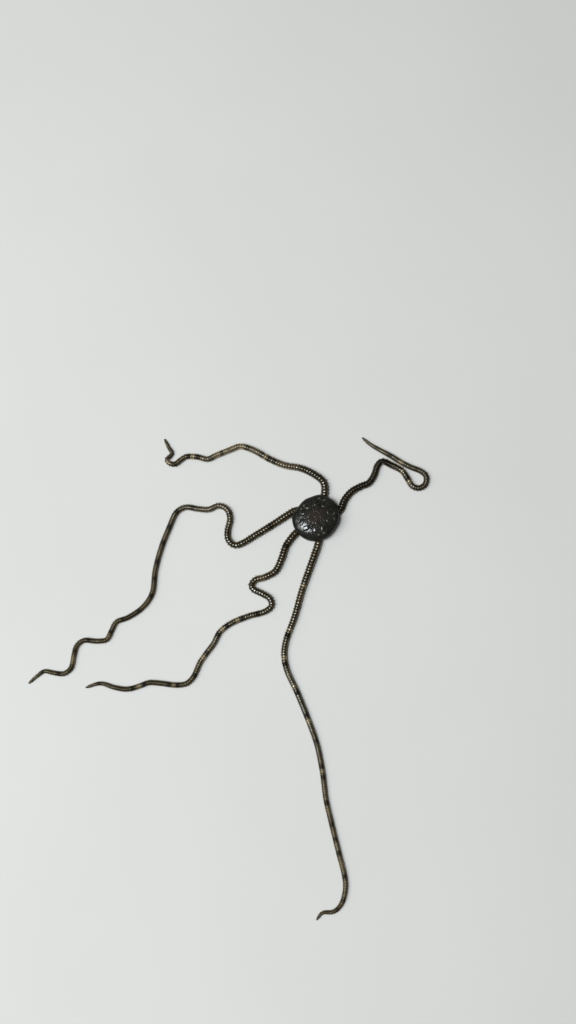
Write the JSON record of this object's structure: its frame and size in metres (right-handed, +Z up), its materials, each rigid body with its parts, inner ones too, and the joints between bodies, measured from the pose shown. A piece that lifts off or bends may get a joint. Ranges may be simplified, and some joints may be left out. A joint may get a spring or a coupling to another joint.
{
  "type": "brittle star",
  "caption": "Small long-armed brittle star lying on its mouth side: a dark puffed disc with slender, banded, winding arms.",
  "frame": {"origin": "on the floor, under the middle of the whole animal's bounding box", "axes": "+Z up from the floor the animal lies on, +Y along the longest extent, from the tip of the lowest arm towards the disc"},
  "size_m": [0.0505, 0.0593, 0.002],
  "materials": {
    "disc": "wet near-black skin of fine scales",
    "arm": "wet dark olive-brown plates with short paler bands",
    "jaws": "damp beige-brown plates"
  },
  "bodies": {
    "root": {"disc": "disc", "jaws": "jaws", "arm_bottom_1": "arm", "arm_bottom_2": "arm", "arm_bottom_3": "arm", "arm_bottom_4": "arm", "arm_left_1": "arm", "arm_left_2": "arm", "arm_left_3": "arm", "arm_left_4": "arm", "arm_left_5": "arm", "arm_left_6": "arm", "arm_left_7": "arm", "arm_left_8": "arm", "arm_lower_left_1": "arm", "arm_lower_left_2": "arm", "arm_lower_left_3": "arm", "arm_lower_left_4": "arm", "arm_lower_left_5": "arm", "arm_lower_left_6": "arm", "arm_right_1": "arm", "arm_right_2": "arm", "arm_right_3": "arm", "arm_right_4": "arm", "arm_top_1": "arm", "arm_top_2": "arm", "arm_top_3": "arm", "arm_top_4": "arm"}
  },
  "joints": []
}
